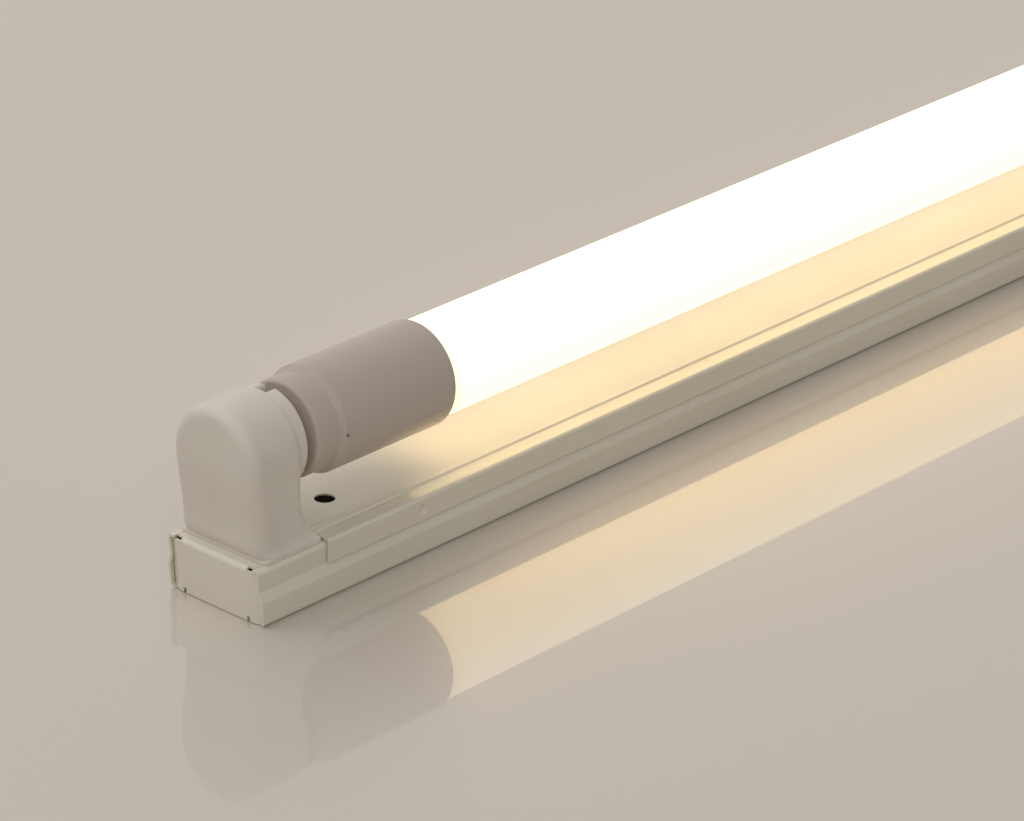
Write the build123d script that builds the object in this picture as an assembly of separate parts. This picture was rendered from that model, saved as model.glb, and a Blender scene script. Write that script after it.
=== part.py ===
from build123d import *
import math
import os

os.makedirs("parts", exist_ok=True)

# A lit LED tube in its one-lamp batten fitting. Millimetres, +Z up, X along the tube.
# The origin is at the middle of the batten's flat back face. Each end is drawn in its own
# coordinates, with X = 0 at the outer face of the end plate and +X towards the middle.

# Lamp: a two-foot T8 tube with two-pin caps
lamp_length = 589.8
diffuser_diameter = 26.0
diffuser_wall = 0.9
diffuser_insertion = 12.0
cap_length = 47.4
cap_mouth_wall = 1.0
cap_neck_step = 1.25
cap_neck_length = 7.4
cap_cone_length = 1.4
cap_edge_radius = 1.0
cap_mouth_radius = 0.5
cap_wall = 1.0
cap_end_wall = 1.6
cap_ledge = 0.6
cap_glue_gap = 0.05
pin_spacing = 12.7
pin_diameter = 2.35
pin_length = 7.1
pin_collar_diameter = 3.6
pin_collar_thickness = 0.5
pin_root = 3.0
pin_tip_radius = 0.6

# Inside the tube
board_width = 10.0
board_thickness = 1.0
board_end_gap = 4.0
glue_inset = 0.6
glue_line = 0.05
led_count = 48
led_length = 2.8
led_width = 3.5
led_height = 0.7
driver_start = 6.0
driver_end_inset = 9.4
driver_width = 21.0
driver_thickness = 1.6
driver_drop = 3.5
rail_width = 1.4
rail_height = 1.2
capacitor_diameter = 8.0
capacitor_length = 13.0
capacitor_start = 13.0
capacitor_crimp = 2.0
inductor_diameter = 8.0
inductor_height = 8.5
inductor_waist = 6.0
inductor_cheek = 1.2
inductor_place = 18.0
chip_length = 5.0
chip_width = 4.0
chip_height = 1.6
chip_place = 27.0
film_length = 7.0
film_width = 4.0
film_height = 7.0
film_place = 8.5
fuse_diameter = 2.6
fuse_length = 7.0
fuse_place = 3.0
driver_part_side = 5.0
part_edge = 0.4
lamp_lead_diameter = 0.9
lamp_lead_run = 1.5
lamp_lead_foot = 0.75
output_lead_run = 2.25
link_lead_run = 3.0
link_lead_slope = 4.5
lamp_lead_side = 2.0
pin_lead_landing = 2.5

# Where the lamp sits
axis_height = 40.4
boss_reach = 20.1
boss_gap = 3.6

# Tray: folded steel sheet
tray_half_width = 16.35
tray_upper_half_width = 15.75
tray_height = 15.3
sheet = 0.6
bend_radius = 1.3
lip_half_gap = 13.65
wall_draw_in = 0.35
shoulder_top = 9.5
shoulder_bottom = 6.6
shoulder_radius = 0.8
plate_side_gap = 0.25
plate_lift = 0.2
end_lean = 1.2
wing_start = 11.4
wing_radius = 8.0
fold_half_width = 10.6
relief_width = 1.0
relief_depth = 3.0
return_length = 4.8
return_side_gap = 0.2
fixing_inset = 38.6
fixing_hole_diameter = 4.6
entry_offset = 60.0
entry_hole_diameter = 12.0
emboss_diameter = 19.0
emboss_height = 1.6

# Cover: folded steel sheet snapped over the tray between the lampholders
cover_sheet = 0.5
cover_half_width = 16.3
cover_rise = 0.3
skirt_bottom = 9.8
cover_bend_radius = 1.0
step_half_width = 11.5
step_height = 0.6
step_run = 0.5
step_radius = 0.4
cover_end_gap = 0.3
access_hole_diameter = 5.4
snap_place = 57.0
snap_height = 12.7
snap_diameter = 3.2
snap_depth = 0.7
snap_clearance = 0.3

# Lampholder: moulded housing
flange_start = 3.2
flange_end = 23.3
flange_half_width = 14.9
flange_thickness = 1.2
flange_corner = 1.6
flange_edge = 0.4
waist_half_width = 14.2
body_half_width = 14.4
body_rear = 0.2
waist_rear = 2.2
body_front = 17.8
flare_height = 3.2
front_flare_height = 12.5
body_edge_radius = 3.2
arch_drop = 1.0
boss_diameter = 26.4
boss_edge_radius = 0.8
boss_root_radius = 1.2
holder_wall = 1.6
entry_width = 3.2
entry_lip_radius = 1.2
foot_start = 5.6
foot_end = 21.2
foot_side_gap = 0.25
foot_wall = 1.6
foot_depth = 3.6
hook_reach = 0.9
hook_gap = 0.1
hook_height = 1.1
hook_length = 7.8
bearing_length = 3.0
bearing_wall = 1.3

# Rotor: turns in the lampholder with the lamp's pins
rotor_diameter = 17.6
rotor_disc = 1.7
rotor_recess = 0.2
rotor_hub_diameter = 9.6
rotor_hub_rear_gap = 0.3
rotor_clearance = 0.06
rotor_slot_width = 2.65
rotor_slot_end_gap = 0.25
rotor_edge = 0.3

# Contacts in each lampholder
contact_strip = 0.4
contact_width = 3.6
contact_pin_gap = 0.35
contact_front_gap = 0.25
contact_rise = 3.0
contact_tip_out = 1.6
contact_offset = 2.2
contact_tail_bottom = 8.6
contact_post_thickness = 1.0
contact_post_gap = 0.1
contact_post_depth = 9.0
contact_post_drop = 9.0
contact_knee = 7.0
contact_bend = 0.6
contact_window_reach = 10.2
contact_window_drop = 7.5
contact_window_gap = 1.0
contact_lead_gap = 0.05

# Terminal block and earth screw on the tray's floor
block_place = 0.0
block_length = 15.0
block_pitch = 7.0
block_poles = 3
block_base_height = 3.0
block_roof = 1.0
block_tower_diameter = 5.4
block_height = 10.6
block_pole_width = 6.2
block_bore_height = 5.2
block_tab = 10.0
block_tab_width = 7.0
block_tab_thickness = 1.6
block_seat_rise = 1.0
block_seat_diameter = 8.0
block_screw_tip = 0.2
block_edge = 0.8
bush_diameter = 4.0
bush_length = 12.0
bush_bore = 2.6
bush_wall_gap = 0.1
terminal_screw_diameter = 2.4
terminal_screw_length = 3.6
terminal_screw_spacing = 8.0
screw_slot_width = 0.6
screw_slot_depth = 0.5
block_screw_diameter = 2.9
block_screw_gap = 0.15
block_screw_head_diameter = 5.2
block_screw_head_height = 1.7
earth_place = -40.0
earth_screw_diameter = 4.0
earth_screw_length = 9.0
earth_head_diameter = 7.2
earth_head_height = 2.4
earth_head_round = 0.8
earth_tip_chamfer = 0.5
earth_washer_diameter = 8.6
earth_washer_thickness = 0.7
earth_nut_width = 7.0
earth_nut_height = 3.0
lug_thickness = 0.7
lug_diameter = 8.0
lug_barrel_diameter = 3.6
lug_barrel_length = 6.0
lug_reach = 6.5
lug_overlap = 0.5
lug_lead_gap = 0.05
lug_stop_gap = 1.0
earth_hole_radius = 2.1
nut_corner_cut = 0.4
nut_thread_gap = 0.05
earth_raise = 3.2
earth_pad_diameter = 15.0

# Grommet in the cable entry
grommet_bore = 8.5
grommet_flange_diameter = 15.0
grommet_flange = 1.4
grommet_neck_gap = 0.1
grommet_edge = 0.5

# Leads and their clips
lead_diameter = 2.2
lead_side = 11.6
clip_places = (-200.0, 200.0)
clip_length = 6.0
clip_base_width = 6.4
clip_base_height = 1.0
clip_wall = 0.8
clip_gap = 0.1
clip_mouth = 1.8
lead_straight = 6.0
lead_drop_run = 12.0
lead_turn_place = 44.0
lead_foot_run = 12.0
lead_foot_rise = 4.0
lead_tail_overlap = 3.0

# How far a cut runs past the surface that it opens
overrun = 1.0
floor_cut_over = 0.01
relief_height = 1.6
edge_tolerance = 0.01

# Sizes that follow from the ones above
cap_face = boss_reach + boss_gap
length = lamp_length + 2 * cap_face
left_end = -length / 2
diffuser_radius = diffuser_diameter / 2
cap_radius = diffuser_radius + cap_glue_gap + cap_mouth_wall
neck_radius = cap_radius - cap_neck_step
diffuser_bore = diffuser_radius - diffuser_wall
rotor_radius = rotor_diameter / 2
hub_radius = rotor_hub_diameter / 2
boss_radius = boss_diameter / 2
pin_sweep = pin_spacing / 2 + pin_diameter / 2
fixing_spacing = length - 2 * fixing_inset
driver_length = cap_length - driver_start - driver_end_inset
cover_start = flange_end + cover_end_gap
cover_top = tray_height + cover_rise + cover_sheet
flange_top = tray_height + flange_thickness
pin_tip = cap_face - pin_length
rotor_front = boss_reach - rotor_recess
rotor_back = rotor_front - rotor_disc


def to_left(piece):
    """Puts a piece drawn in end coordinates at the left end."""
    return Pos(left_end, 0, 0) * piece


def to_right(piece):
    """Puts the mirror image of a piece drawn in end coordinates at the right end."""
    return mirror(to_left(piece), about=Plane.YZ)


def save(name, *solids):
    """Writes one node."""
    found = [solid for piece in solids for solid in piece.solids()]
    shape = found[0] if len(found) == 1 else Compound(children=found)
    export_step(shape, f"parts/{name}.step")


def block(x_low, x_high, y_low, y_high, z_low, z_high):
    """Straight box between two corners."""
    size = (x_high - x_low, y_high - y_low, z_high - z_low)
    middle = ((x_high + x_low) / 2, (y_high + y_low) / 2, (z_high + z_low) / 2)
    return Pos(*middle) * Box(*size)


def rod(radius, x_low, x_high, y=0.0, z=0.0):
    """Round bar along X."""
    return Pos((x_low + x_high) / 2, y, z) * Rot(0, 90, 0) * Cylinder(radius, x_high - x_low)


def post(radius, z_low, z_high, x=0.0, y=0.0):
    """Round bar along Z."""
    return Pos(x, y, (z_low + z_high) / 2) * Cylinder(radius, z_high - z_low)


def turned(points, z):
    """Solid of revolution about the X line at height z, from (x, radius) points."""
    face = Plane.XZ * make_face(Polyline(*points, close=True))
    return Pos(0, 0, z) * revolve(face, Axis.X)


def bent_sheet(points, radii, thickness):
    """Section of a bent sheet. Its visible face runs through the points, with the sheet on the
    left of the run, or on its right where the thickness is negative."""
    corners = [Vector(*point) for point in points]
    runs = [(b - a).normalized() for a, b in zip(corners, corners[1:])]
    sides = [Vector(-run.Y, run.X) for run in runs]
    others = [corners[0] + sides[0] * thickness]
    other_radii = []
    bends = zip(corners[1:], runs, runs[1:], radii, sides, sides[1:])
    for here, before, after, radius, one, two in bends:
        others.append(here + (one + two) * (thickness / (1 + one.dot(two))))
        inner = (before.X * after.Y - before.Y * after.X) * thickness > 0
        change = -abs(thickness) if inner else abs(thickness)
        other_radii.append(max(radius + change, 0))
    others.append(corners[-1] + sides[-1] * thickness)
    face_run = FilletPolyline(*corners, radius=radii)
    back_run = FilletPolyline(*others, radius=other_radii)
    ends = [Line(corners[0], others[0]), Line(corners[-1], others[-1])]
    return make_face([edge for line in [face_run, back_run, *ends] for edge in line.edges()])


def mirrored_points(points):
    """Points of one half and their mirror images, as one open run."""
    return [(-a, b) for a, b in points] + [(a, b) for a, b in reversed(points)]


def lead(points, diameter):
    """Insulated wire along a route, with every bend as wide as its two runs allow."""
    corners = [Vector(*point) for point in points]
    radii = []
    for before, here, after in zip(corners, corners[1:], corners[2:]):
        turn = math.radians((here - before).get_angle(after - here))
        run = min((here - before).length, (after - here).length)
        radii.append(0.45 * run / math.tan(turn / 2))
    path = FilletPolyline(*points, radius=radii)
    start = Plane(origin=path @ 0, z_dir=path % 0)
    return sweep(start * Circle(diameter / 2), path=path)


# Tray

def wall_points():
    """Outer face of one side wall, from the lip down to the shoulder and the floor."""
    return [
        (tray_upper_half_width, tray_height),
        (tray_upper_half_width - wall_draw_in, shoulder_top),
        (tray_half_width, shoulder_bottom),
        (tray_half_width, 0),
    ]


def tray_channel():
    """Floor, shouldered walls and inward lips, folded from one sheet, with both ends cut at a slant."""
    half = [(lip_half_gap, tray_height), *wall_points()]
    half_radii = [bend_radius, shoulder_radius, shoulder_radius, bend_radius]
    section = bent_sheet(mirrored_points(half), half_radii + half_radii[::-1], sheet)
    channel = Pos(left_end, 0, 0) * extrude(Plane.YZ * section, amount=length)
    low = -overrun
    high = tray_height + overrun
    cut = [(low, low), (lean_at(low), low), (lean_at(high), high), (low, high)]
    face = make_face(Polyline(*cut, close=True))
    end_cut = extrude(Plane.XZ * face, amount=tray_half_width + overrun, both=True)
    end_cut += block(low, relief_depth, -tray_half_width, tray_half_width, low, sheet + floor_cut_over)
    return channel - to_left(end_cut) - to_right(end_cut)


def lean_at(height):
    """How far in the leaning end of the tray is at a height, in end coordinates."""
    return end_lean * (1 - height / tray_height)


def winged_plate():
    """Leaning plate with its sides curved in, from the floor to the top."""
    inner = tray_half_width - sheet - plate_side_gap
    thick = sheet * math.hypot(1, end_lean / tray_height)
    turn = math.degrees(math.asin((inner - wing_start) / wing_radius))
    half_wing = CenterArc((wing_radius, wing_start), wing_radius, 180, -turn)
    inside_wing = CenterArc((wing_radius, wing_start), wing_radius - thick, 180, -turn)
    flat = Line((0, -wing_start), (0, wing_start))
    inside_flat = Line((thick, -wing_start), (thick, wing_start))
    tip = Line(half_wing @ 1, inside_wing @ 1)
    arcs = [half_wing, inside_wing, tip]
    outline = [flat, inside_flat] + arcs + [mirror(edge, about=Plane.XZ) for edge in arcs]
    face = make_face([edge for line in outline for edge in line.edges()])
    rise = Vector(-end_lean, 0, tray_height)
    return Pos(end_lean, 0, 0) * extrude(face, amount=rise.length, dir=rise.normalized())


def end_plate():
    """End plate, folded up from the floor and in over the top, in end coordinates."""
    gap = sheet + plate_side_gap
    side = [(y - gap, z) for y, z in wall_points()]
    top = tray_height - gap
    outline = [(side[0][0], top), side[1], side[2], (side[3][0], plate_lift)]
    outline = outline + [(-y, z) for y, z in reversed(outline)]
    window = extrude(Plane.YZ * make_face(Polyline(*outline, close=True)), amount=flange_start)
    plate = winged_plate() & window
    plate -= block(-overrun, flange_start, -wing_start, wing_start, tray_height - bend_radius, tray_height)
    relief_side = fold_half_width + relief_width
    relief = block(-overrun, relief_depth, fold_half_width, relief_side, -overrun, relief_height)
    plate -= relief + mirror(relief, about=Plane.XZ)
    middle = (lean_at(tray_height / 2), tray_height / 2)
    fold = bent_sheet([(relief_depth, 0), (end_lean, 0), middle], [bend_radius], -sheet)
    plate += extrude(Plane.XZ * fold, amount=fold_half_width, both=True)
    over = bent_sheet([middle, (0, tray_height), (return_length, tray_height)], [bend_radius], -sheet)
    return plate + extrude(Plane.XZ * over, amount=wing_start, both=True) + return_flange()


def return_flange():
    """Top of the end plate, wider than its bend, which drops in between the tray's lips."""
    half = lip_half_gap - return_side_gap
    return block(bend_radius, return_length, -half, half, tray_height - sheet, tray_height)


def floor_seat(x, y, diameter, height, hole):
    """Round seat pressed up from the floor, with a hole through it."""
    outer = diameter / 2
    rise = [
        (hole / 2, height),
        (outer - height, height),
        (outer, 0),
        (outer + sheet, 0),
        (outer + sheet, sheet),
        (outer + sheet / 2, sheet),
        (outer - height + sheet / 2, height + sheet),
        (hole / 2, height + sheet),
    ]
    face = Plane.XZ * make_face(Polyline(*rise, close=True))
    return Pos(x, y, 0) * revolve(face, Axis.Z)


def tray():
    """Whole tray with its end plates, holes and pressed seats."""
    body = tray_channel()
    for place in (to_left, to_right):
        body += place(end_plate())
    for x in (-fixing_spacing / 2, fixing_spacing / 2):
        body -= post(fixing_hole_diameter / 2, -overrun, sheet + overrun, x)
    seats = [
        (entry_offset, emboss_diameter, emboss_height, entry_hole_diameter),
        (earth_place, earth_pad_diameter, earth_raise, 2 * earth_hole_radius),
        (block_seat_x, block_seat_diameter, block_seat_rise, block_screw_diameter),
    ]
    for x, diameter, height, hole in seats:
        body -= post(diameter / 2 + sheet, -overrun, sheet + overrun, x)
        body += floor_seat(x, 0, diameter, height, hole)
    snap = snap_diameter / 2 + snap_clearance
    for x in (left_end + snap_place, -left_end - snap_place):
        body -= Pos(x, 0, snap_height) * Rot(90, 0, 0) * Cylinder(snap, 2 * tray_half_width)
    return body


# Cover

def cover():
    """Cover with its raised middle, skirts, snap dimples and access holes."""
    half = [
        (cover_half_width, skirt_bottom),
        (cover_half_width, cover_top),
        (step_half_width, cover_top),
        (step_half_width - step_run, cover_top + step_height),
    ]
    radii = [cover_bend_radius, step_radius, step_radius]
    section = bent_sheet(mirrored_points(half), radii + radii[::-1], -cover_sheet)
    span = length - 2 * cover_start
    body = Pos(-span / 2, 0, 0) * extrude(Plane.YZ * section, amount=span)
    for x in (-fixing_spacing / 2, fixing_spacing / 2):
        body -= post(access_hole_diameter / 2, cover_top - overrun, cover_top + step_height + overrun, x)
    rim = snap_diameter / 2
    ball = (rim ** 2 + snap_depth ** 2) / (2 * snap_depth)
    inner_face = cover_half_width - cover_sheet
    for x in (left_end + snap_place, -left_end - snap_place):
        centre = Pos(x, cover_half_width - snap_depth + ball, snap_height)
        hollow = centre * Sphere(ball)
        dent = centre * Sphere(ball + cover_sheet)
        inside = block(x - snap_diameter, x + snap_diameter, inner_face - 2 * overrun, inner_face,
                       snap_height - snap_diameter, snap_height + snap_diameter)
        for side in (-1, 1):
            bump = dent & inside
            body += bump if side > 0 else mirror(bump, about=Plane.XZ)
            body -= hollow if side > 0 else mirror(hollow, about=Plane.XZ)
    return body


# Lampholder

def holder_front_outline(inset=0.0):
    """Arch over sides that draw in to a waist, then spread to the flange."""
    waist = waist_half_width - inset
    side = body_half_width - inset
    foot = flange_half_width - inset
    waist_z = flange_top + flare_height
    arch_z = axis_height - arch_drop
    right = [
        TangentArc((waist, waist_z), (foot, flange_top), tangent=(0, -1)),
        Spline((waist, waist_z), (side, arch_z), tangents=((0, 1), (0, 1))),
        CenterArc((0, arch_z), side, 0, 90),
    ]
    left = [mirror(edge, about=Plane.YZ) for edge in right]
    close = Line((-foot, flange_top), (foot, flange_top))
    return make_face([edge for line in right + left + [close] for edge in line.edges()])


def holder_side_outline():
    """Side view: rear face leaning out above the waist, front face with a wide flare."""
    top = axis_height + body_half_width + overrun
    waist_z = flange_top + flare_height
    front_z = flange_top + front_flare_height
    rear = [
        TangentArc((waist_rear, waist_z), (flange_start, flange_top), tangent=(0, -1)),
        Spline((waist_rear, waist_z), (body_rear, axis_height), tangents=((0, 1), (0, 1))),
        Line((body_rear, axis_height), (body_rear, top)),
    ]
    front = [
        TangentArc((body_front, front_z), (flange_end, flange_top), tangent=(0, -1)),
        Line((body_front, front_z), (body_front, top)),
    ]
    ends = [
        Line((body_rear, top), (body_front, top)),
        Line((flange_start, flange_top), (flange_end, flange_top)),
    ]
    return make_face([edge for line in rear + front + ends for edge in line.edges()])


def holder_body():
    """Outer form above the flange: front and side views cut from each other, with soft edges."""
    along = extrude(Plane.YZ * holder_front_outline(), amount=flange_end + overrun)
    across = extrude(Plane.XZ * holder_side_outline(), amount=flange_half_width + overrun, both=True)
    body = along & across
    edges = [edge for edge in body.edges() if not is_crossing(edge)]
    return fillet(edges, body_edge_radius)


def is_crossing(edge):
    """True for a straight edge along X or Y, which lies within a smooth face or on the flange."""
    direction = edge % 0.5
    return edge.geom_type == GeomType.LINE and max(abs(direction.X), abs(direction.Y)) > 1 - edge_tolerance


def is_boss_root(edge):
    """True for an edge where the round boss meets the body."""
    middle = edge @ 0.5
    away = math.hypot(middle.Y, middle.Z - axis_height)
    on_boss = abs(away - boss_radius) < edge_tolerance
    return on_boss and edge.geom_type != GeomType.LINE and middle.X < (body_front + boss_reach) / 2


def holder_cavity():
    """Room inside the housing, open through the flange and the foot."""
    rear = waist_rear + holder_wall
    front = body_front - holder_wall
    room = Pos(rear, 0, 0) * extrude(Plane.YZ * holder_front_outline(holder_wall), amount=front - rear)
    half = lip_half_gap - foot_side_gap - foot_wall
    low = tray_height - foot_depth - overrun
    room += block(foot_start + foot_wall, foot_end - foot_wall, -half, half, low, flange_top)
    return room


def holder_foot():
    """Frame that drops between the tray's lips, with a hook under each lip."""
    half = lip_half_gap - foot_side_gap
    low = tray_height - foot_depth
    foot = block(foot_start, foot_end, -half, half, low, tray_height)
    hook_top = tray_height - sheet - hook_gap
    hook_start = (foot_start + foot_end - hook_length) / 2
    for side in (-1, 1):
        profile = [
            (side * half, hook_top),
            (side * (half + hook_reach), hook_top),
            (side * half, hook_top - hook_height),
        ]
        hook = extrude(Plane.YZ * make_face(Polyline(*profile, close=True)), amount=hook_length)
        foot += Pos(hook_start, 0, 0) * hook
    return foot


def lampholder():
    """Housing with its flange, foot, round boss, rotor bearing and contact posts."""
    flange = block(flange_start, flange_end, -flange_half_width, flange_half_width,
                   tray_height, flange_top)
    flange = fillet(flange.edges().filter_by(Axis.Z), flange_corner)
    flange = fillet(flange.edges().group_by(Axis.Z)[-1], flange_edge)
    boss = rod(boss_radius, body_front - body_edge_radius, boss_reach, 0, axis_height)
    boss = fillet(boss.edges().group_by(Axis.X)[-1], boss_edge_radius)
    housing = holder_body() + boss
    housing = fillet([edge for edge in housing.edges() if is_boss_root(edge)], boss_root_radius)
    housing += flange + holder_foot()
    housing -= holder_cavity()

    rear = waist_rear + holder_wall
    housing += rod(hub_radius + rotor_clearance + bearing_wall, rear, rear + bearing_length, 0, axis_height)
    housing -= rod(hub_radius + rotor_clearance, rear, rear + bearing_length + overrun, 0, axis_height)

    contact_y = contact_tail_y() + contact_strip + contact_post_gap
    post_end = rear + contact_post_depth
    post_side = contact_y + contact_post_thickness
    low = tray_height - foot_depth
    wall = block(rear, post_end, contact_y, post_side, tray_height, axis_height - contact_post_drop)
    wall += block(foot_start, post_end, contact_y, post_side, low, tray_height)
    housing += wall + mirror(wall, about=Plane.XZ)

    inside = body_front - holder_wall - overrun
    housing -= rod(rotor_radius + rotor_clearance, inside, boss_reach + overrun, 0, axis_height)
    housing -= pin_entry()
    window = block(inside, rotor_back, pin_sweep, contact_window_reach,
                   axis_height - contact_window_drop, axis_height + contact_rise + contact_window_gap)
    return housing - window - mirror(window, about=Plane.XZ)


def pin_entry():
    """Slot that the pins drop through, with its mouth rounded open at the top."""
    start = pin_tip - rotor_slot_end_gap
    half = entry_width / 2
    top = axis_height + boss_radius
    low = top - entry_lip_radius
    entry = block(start, boss_reach + overrun, -half, half, axis_height, top + overrun)
    wide = half + entry_lip_radius
    mouth = block(start, boss_reach + overrun, -wide, wide, low, top + overrun)
    for side in (-1, 1):
        mouth -= rod(entry_lip_radius, start, boss_reach + overrun, side * wide, low)
    return entry + mouth


# Rotor

def rotor():
    """Disc and hub with a slot for the two pins, open at its +Y end."""
    rear = waist_rear + holder_wall + rotor_hub_rear_gap
    disc = rod(rotor_radius, rotor_back, rotor_front, 0, axis_height)
    disc = fillet(disc.edges().group_by(Axis.X)[-1], rotor_edge)
    body = disc + rod(hub_radius, rear, rotor_back, 0, axis_height)
    slot_start = pin_tip - rotor_slot_end_gap
    half = rotor_slot_width / 2
    slot = block(slot_start, rotor_front + overrun, -pin_spacing / 2, rotor_radius + overrun,
                 axis_height - half, axis_height + half)
    slot += rod(half, slot_start, rotor_front + overrun, -pin_spacing / 2, axis_height)
    return body - slot


# Contacts

def contact_tail_y():
    """Distance of a contact's straight tail from the middle."""
    return pin_sweep + contact_pin_gap + contact_offset


def contacts():
    """Two bent strips, one at each side of the pins, each with a wider head beside its pin."""
    near = pin_sweep + contact_pin_gap
    run = [
        (contact_tail_y(), contact_tail_bottom),
        (contact_tail_y(), axis_height - contact_knee),
        (near, axis_height - contact_rise),
        (near, axis_height + contact_rise / 2),
        (near + contact_tip_out, axis_height + contact_rise),
    ]
    section = Plane.YZ * bent_sheet(run, [contact_bend] * 3, -contact_strip)
    front = body_front - holder_wall - contact_front_gap
    strip = Pos(front - contact_width, 0, 0) * extrude(section, amount=contact_width)
    reach = rotor_back - contact_front_gap - front
    head = Pos(front, 0, 0) * extrude(section, amount=reach)
    head &= block(0, boss_reach, 0, 2 * near, axis_height - contact_rise, axis_height + contact_rise)
    strip += head
    return [strip, mirror(strip, about=Plane.XZ)]


# Lamp

def diffuser():
    """Round diffusing tube, held in the two caps."""
    half = length / 2 - diffuser_start()
    return rod(diffuser_radius, -half, half, 0, axis_height) - rod(diffuser_bore, -half, half, 0, axis_height)


def diffuser_start():
    """Place of the diffuser's end in end coordinates."""
    return cap_face + cap_length - diffuser_insertion


def end_cap():
    """Moulded cap: narrow neck, short cone, barrel, ledge for the tube and rails for the board."""
    neck_end = cap_face + cap_neck_length
    cone_end = neck_end + cap_cone_length
    mouth = cap_face + cap_length
    bore = diffuser_radius + cap_glue_gap
    points = [
        (cap_face, 0),
        (cap_face, neck_radius),
        (neck_end, neck_radius),
        (cone_end, cap_radius),
        (mouth, cap_radius),
        (mouth, bore),
        (diffuser_start(), bore),
        (diffuser_start(), bore - cap_ledge),
        (cone_end, bore - cap_ledge),
        (neck_end, neck_radius - cap_wall),
        (cap_face + cap_end_wall, neck_radius - cap_wall),
        (cap_face + cap_end_wall, 0),
    ]
    cap = turned(points, axis_height)
    rims = cap.edges().filter_by(GeomType.CIRCLE)
    face_rim = rims.filter_by(lambda edge: at_rim(edge, cap_face, neck_radius))
    cap = fillet(face_rim, cap_edge_radius)
    rims = cap.edges().filter_by(GeomType.CIRCLE)
    mouth_rim = rims.filter_by(lambda edge: at_rim(edge, mouth, cap_radius))
    cap = fillet(mouth_rim, cap_mouth_radius)
    for y in (-pin_spacing / 2, pin_spacing / 2):
        collar_start = cap_face - pin_collar_thickness
        cap += rod(pin_collar_diameter / 2, collar_start, cap_face + cap_end_wall, y, axis_height)
        cap -= rod(pin_diameter / 2, cap_face - overrun, cap_face + pin_root, y, axis_height)
    rail_top = axis_height - driver_drop - driver_thickness / 2
    inner = driver_width / 2 - rail_width
    for side in (-1, 1):
        rail = block(cone_end, diffuser_start(), inner, bore, rail_top - rail_height, rail_top)
        rail &= rod(bore, cone_end, diffuser_start(), 0, axis_height)
        cap += rail if side > 0 else mirror(rail, about=Plane.XZ)
    return cap


def at_rim(edge, x, radius):
    """True for a circle about the lamp's axis at x with that radius."""
    return abs(edge.arc_center.X - x) < edge_tolerance and abs(edge.radius - radius) < edge_tolerance


def pins():
    """The cap's two contact pins, each with a rounded tip."""
    made = []
    for y in (-pin_spacing / 2, pin_spacing / 2):
        pin = rod(pin_diameter / 2, pin_tip, cap_face + pin_root, y, axis_height)
        made.append(fillet(pin.edges().group_by(Axis.X)[0], pin_tip_radius))
    return made


def board_bottom():
    """Height of the LED board's underside: its two edges meet the tube's inner wall."""
    radius = diffuser_bore - glue_line
    return axis_height - math.sqrt(radius ** 2 - (board_width / 2) ** 2)


def board_half_length():
    """Half the LED board's length."""
    return length / 2 - diffuser_start() - board_end_gap


def led_board():
    """Long aluminium board with soft corners."""
    half = board_half_length()
    low = board_bottom()
    board = block(-half, half, -board_width / 2, board_width / 2, low, low + board_thickness)
    return fillet(board.edges().filter_by(Axis.Z), board_thickness)


def board_adhesive():
    """Bead of silicone that fills the space between the board and the tube's wall."""
    radius = diffuser_bore - glue_line
    low = board_bottom() - axis_height
    section = Circle(radius) & Pos(0, low - radius) * Rectangle(board_width - 2 * glue_inset, 2 * radius)
    half = board_half_length() - glue_inset
    return Pos(-half, 0, axis_height) * extrude(Plane.YZ * section, amount=2 * half)


def leds():
    """Row of LED packages along the board."""
    top = board_bottom() + board_thickness
    pitch = 2 * board_half_length() / led_count
    package = block(-led_width / 2, led_width / 2, -led_length / 2, led_length / 2, top, top + led_height)
    return [Pos((i - (led_count - 1) / 2) * pitch, 0, 0) * package for i in range(led_count)]


# Driver in the left cap, in end coordinates

driver_x = cap_face + driver_start
driver_top = axis_height - driver_drop + driver_thickness / 2


def driver_board():
    """Driver's circuit board, resting on the cap's rails."""
    low = driver_top - driver_thickness
    return block(driver_x, driver_x + driver_length, -driver_width / 2, driver_width / 2, low, driver_top)


def driver_capacitor():
    """Lying electrolytic capacitor with its crimped ring."""
    radius = capacitor_diameter / 2
    start = driver_x + capacitor_start
    crimp = start + capacitor_crimp
    points = [
        (start, 0),
        (start, radius - part_edge),
        (start + part_edge, radius),
        (crimp, radius),
        (crimp + part_edge, radius - part_edge),
        (crimp + 2 * part_edge, radius),
        (start + capacitor_length - part_edge, radius),
        (start + capacitor_length, radius - part_edge),
        (start + capacitor_length, 0),
    ]
    return Pos(0, -driver_part_side, 0) * turned(points, driver_top + radius)


def driver_inductor():
    """Wound drum core standing on the board."""
    radius = inductor_diameter / 2
    waist = inductor_waist / 2
    high = driver_top + inductor_height
    points = [
        (0, driver_top),
        (radius, driver_top),
        (radius, driver_top + inductor_cheek),
        (waist, driver_top + inductor_cheek),
        (waist, high - inductor_cheek),
        (radius, high - inductor_cheek),
        (radius, high),
        (0, high),
    ]
    core = revolve(Plane.XZ * make_face(Polyline(*points, close=True)), Axis.Z)
    return Pos(driver_x + inductor_place, driver_part_side, 0) * core


def driver_chip():
    """Controller chip with sloped sides."""
    low = driver_top
    body = block(-chip_length / 2, chip_length / 2, -chip_width / 2, chip_width / 2, low, low + chip_height)
    body = chamfer(body.edges().group_by(Axis.Z)[-1], part_edge)
    return Pos(driver_x + chip_place, driver_part_side, 0) * body


def driver_film_capacitor():
    """Boxed film capacitor."""
    low = driver_top
    body = block(-film_length / 2, film_length / 2, -film_width / 2, film_width / 2, low, low + film_height)
    body = fillet(body.edges().filter_by(Axis.Z), part_edge)
    return Pos(driver_x + film_place, -driver_part_side, 0) * body


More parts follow.
